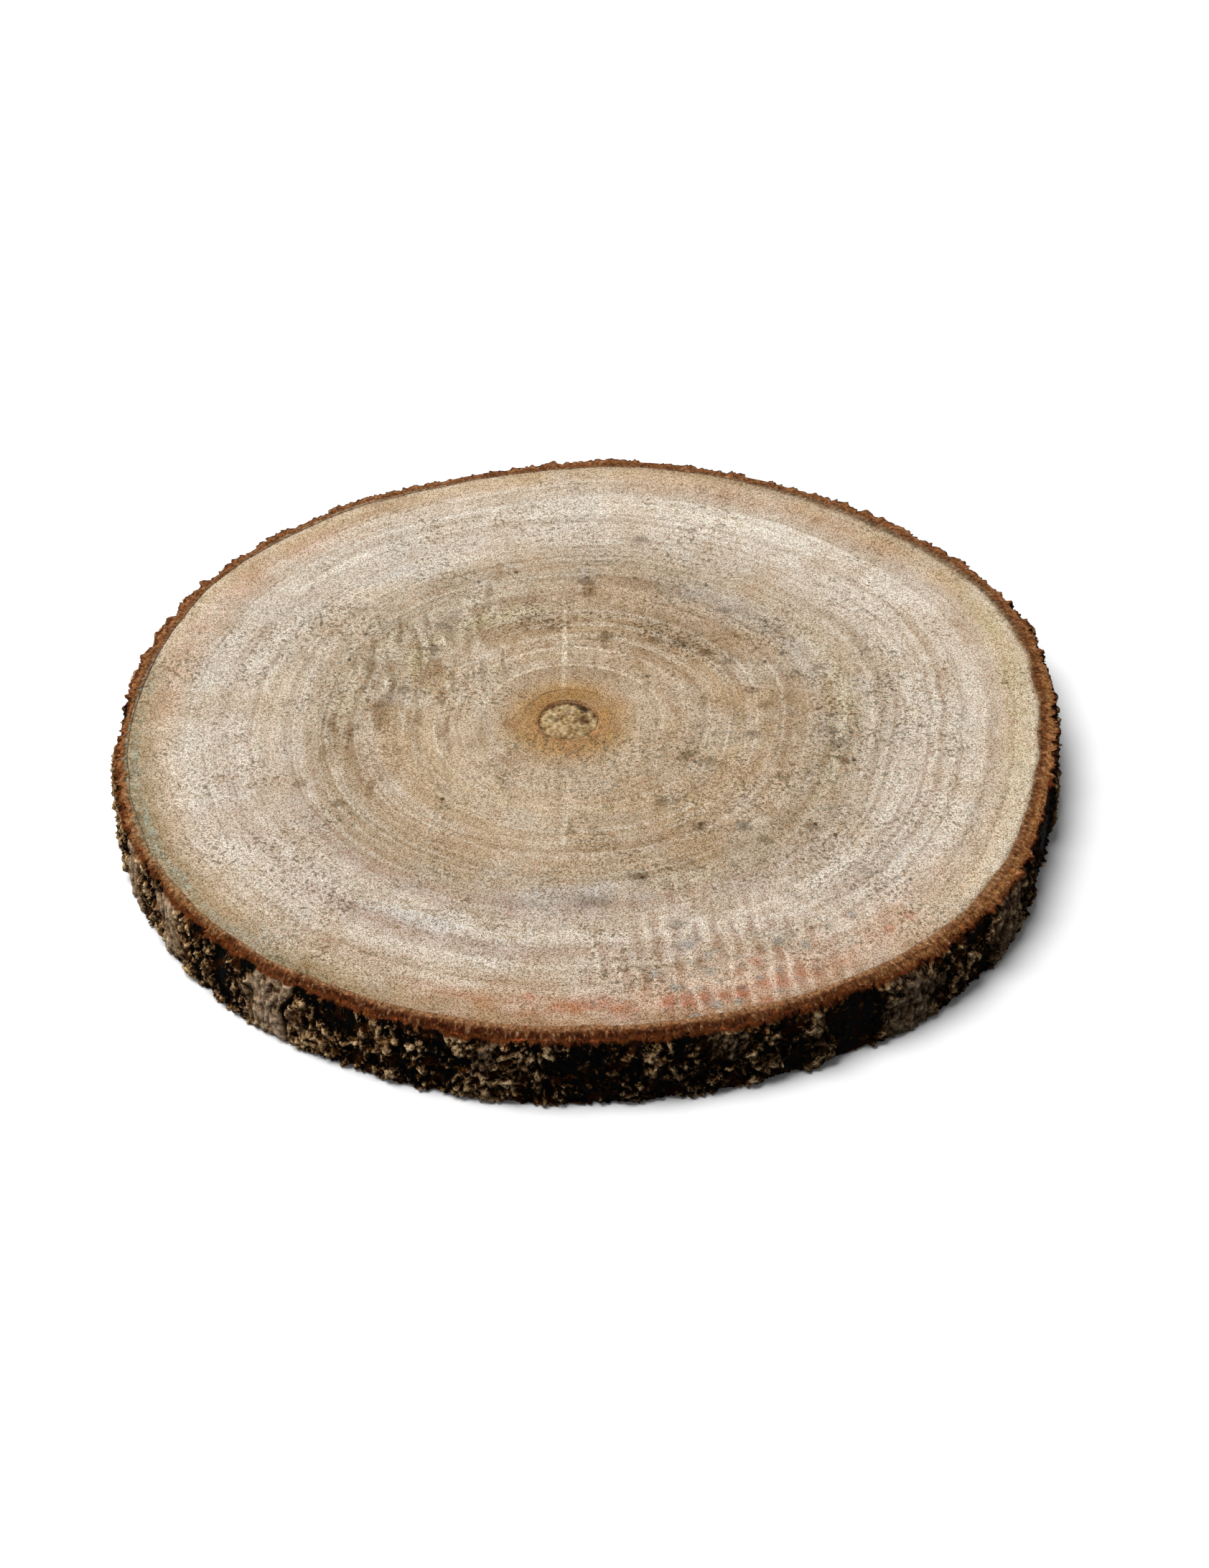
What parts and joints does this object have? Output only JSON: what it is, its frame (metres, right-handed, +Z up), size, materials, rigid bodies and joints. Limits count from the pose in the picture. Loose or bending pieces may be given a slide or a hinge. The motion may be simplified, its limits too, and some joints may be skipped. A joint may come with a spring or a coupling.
{
  "type": "wood slice",
  "caption": "Round slice sawn straight across a small tree trunk, bark left on, flat and parallel sawn faces with growth rings and a soft oval pith set off centre.",
  "frame": {"origin": "under the middle of the slice's box, on the lower sawn face", "axes": "+Z up along the trunk, +Y along the longer diameter, away from the camera of the reference view"},
  "size_m": [0.2636, 0.2748, 0.021],
  "materials": {
    "wood_and_bark": "dry sawn end grain, unsanded and unfinished, with rough dark brown bark round the edge"
  },
  "bodies": {
    "root": {"wood_slice": "wood_and_bark"}
  },
  "joints": []
}
